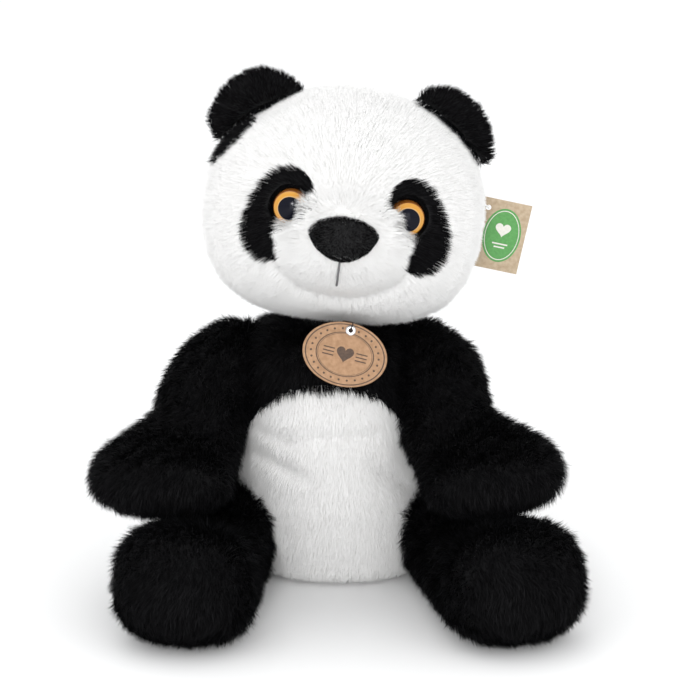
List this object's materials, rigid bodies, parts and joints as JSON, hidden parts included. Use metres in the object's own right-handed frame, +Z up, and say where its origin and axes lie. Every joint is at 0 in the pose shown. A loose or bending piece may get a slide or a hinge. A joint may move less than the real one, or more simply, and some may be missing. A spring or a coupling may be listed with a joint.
{
  "type": "plush panda",
  "caption": "Seated plush panda with a turning head, limp arms, splaying legs, bending ears, an oval card medallion and a hang tag.",
  "frame": {"origin": "on the resting surface, under the middle of the torso's flat seat", "axes": "+Z up; +Y towards the panda's back, so it faces -Y; +X towards its left arm, which is on the viewer's right"},
  "size_m": [0.2665, 0.2474, 0.2906],
  "materials": {
    "white_plush": "dense soft plush pile",
    "black_plush": "dense soft plush pile",
    "nose_cloth": "short velour pile",
    "filling": "hollow-fibre stuffing",
    "eye_black": "polished",
    "eye_amber": "painted under a clear dome",
    "eye_clear": "polished clear acrylic",
    "washer_plastic": "moulded",
    "mouth_thread": "stitched thread",
    "kraft_card": "uncoated kraft board, printed",
    "eyelet_metal": "polished",
    "dark_thread": "twisted thread",
    "pin_plastic": "translucent white nylon",
    "label_cloth": "woven satin tape"
  },
  "bodies": {
    "torso": {"belly_panel": "white_plush", "chest_panel": "black_plush", "back_panel_upper": "black_plush", "back_panel_lower_left": "white_plush", "back_panel_lower_right": "white_plush", "seat_panel": "white_plush", "torso_filling": "filling", "tail": "white_plush", "care_label": "label_cloth"},
    "neck": {"neck_filling": "filling"},
    "head": {"muzzle_panel": "white_plush", "nose": "nose_cloth", "head_filling": "filling", "mouth_stitch": "mouth_thread", "tag_pin": "pin_plastic", "face_panel_left": "white_plush", "head_back_panel_left": "white_plush", "eye_patch_left": "black_plush", "eye_base_left": "eye_black", "eye_iris_left": "eye_amber", "eye_lens_left": "eye_clear", "eye_washer_left": "washer_plastic", "face_panel_right": "white_plush", "head_back_panel_right": "white_plush", "eye_patch_right": "black_plush", "eye_base_right": "eye_black", "eye_iris_right": "eye_amber", "eye_lens_right": "eye_clear", "eye_washer_right": "washer_plastic"},
    "medallion": {"medallion_card": "kraft_card", "medallion_eyelet": "eyelet_metal", "medallion_thread": "dark_thread"},
    "hang_tag": {"hang_tag_card": "kraft_card"},
    "arm_left": {"arm_panel_outer_left": "black_plush", "arm_panel_inner_left": "black_plush", "arm_filling_left": "filling"},
    "leg_left": {"leg_panel_top_left": "black_plush", "leg_panel_bottom_left": "black_plush", "foot_sole_left": "black_plush", "leg_filling_left": "filling"},
    "ear_left": {"ear_front_panel_left": "black_plush", "ear_back_panel_left": "black_plush"},
    "arm_right": {"arm_panel_outer_right": "black_plush", "arm_panel_inner_right": "black_plush", "arm_filling_right": "filling"},
    "leg_right": {"leg_panel_top_right": "black_plush", "leg_panel_bottom_right": "black_plush", "foot_sole_right": "black_plush", "leg_filling_right": "filling"},
    "ear_right": {"ear_front_panel_right": "black_plush", "ear_back_panel_right": "black_plush"}
  },
  "joints": [
    {"name": "neck_turn", "type": "hinge", "parent": "torso", "child": "neck", "pos_m": [-0.004, 0, 0.147], "axis": [0, 0, 1], "range_deg": [-25, 25], "stiffness_Nm_per_rad": 0.4},
    {"name": "head_nod", "type": "hinge", "parent": "neck", "child": "head", "pos_m": [-0.004, 0, 0.147], "axis": [1, 0, 0], "range_deg": [-10, 3], "stiffness_Nm_per_rad": 1.2},
    {"name": "shoulder_left", "type": "hinge", "parent": "torso", "child": "arm_left", "pos_m": [-0.06, -0.004, 0.115], "axis": [-0.7507, 0, -0.6606], "range_deg": [0, 40]},
    {"name": "shoulder_right", "type": "hinge", "parent": "torso", "child": "arm_right", "pos_m": [0.046, -0.004, 0.115], "axis": [-0.7507, 0, 0.6606], "range_deg": [0, 40]},
    {"name": "hip_left", "type": "hinge", "parent": "torso", "child": "leg_left", "pos_m": [-0.064, -0.022, 0.029], "axis": [0, 0, -1], "range_deg": [0, 14], "stiffness_Nm_per_rad": 0.05},
    {"name": "hip_right", "type": "hinge", "parent": "torso", "child": "leg_right", "pos_m": [0.059, -0.022, 0.029], "axis": [0, 0, 1], "range_deg": [0, 12], "stiffness_Nm_per_rad": 0.05},
    {"name": "ear_bend_left", "type": "hinge", "parent": "head", "child": "ear_left", "pos_m": [-0.04464, -0.004, 0.26231], "axis": [0.7157, 0, 0.6984], "range_deg": [-14, 14], "stiffness_Nm_per_rad": 0.02},
    {"name": "ear_bend_right", "type": "hinge", "parent": "head", "child": "ear_right", "pos_m": [0.05892, -0.004, 0.25106], "axis": [0.549, 0, -0.8358], "range_deg": [-14, 14], "stiffness_Nm_per_rad": 0.02},
    {"name": "medallion_swing", "type": "hinge", "parent": "torso", "child": "medallion", "pos_m": [0.003, -0.0455, 0.15], "axis": [0, -0.9563, 0.2924], "range_deg": [-18, 18]},
    {"name": "hang_tag_swing", "type": "hinge", "parent": "head", "child": "hang_tag", "pos_m": [0.0875, 0.022, 0.206], "axis": [0, -1, 0], "range_deg": [0, 35]}
  ]
}
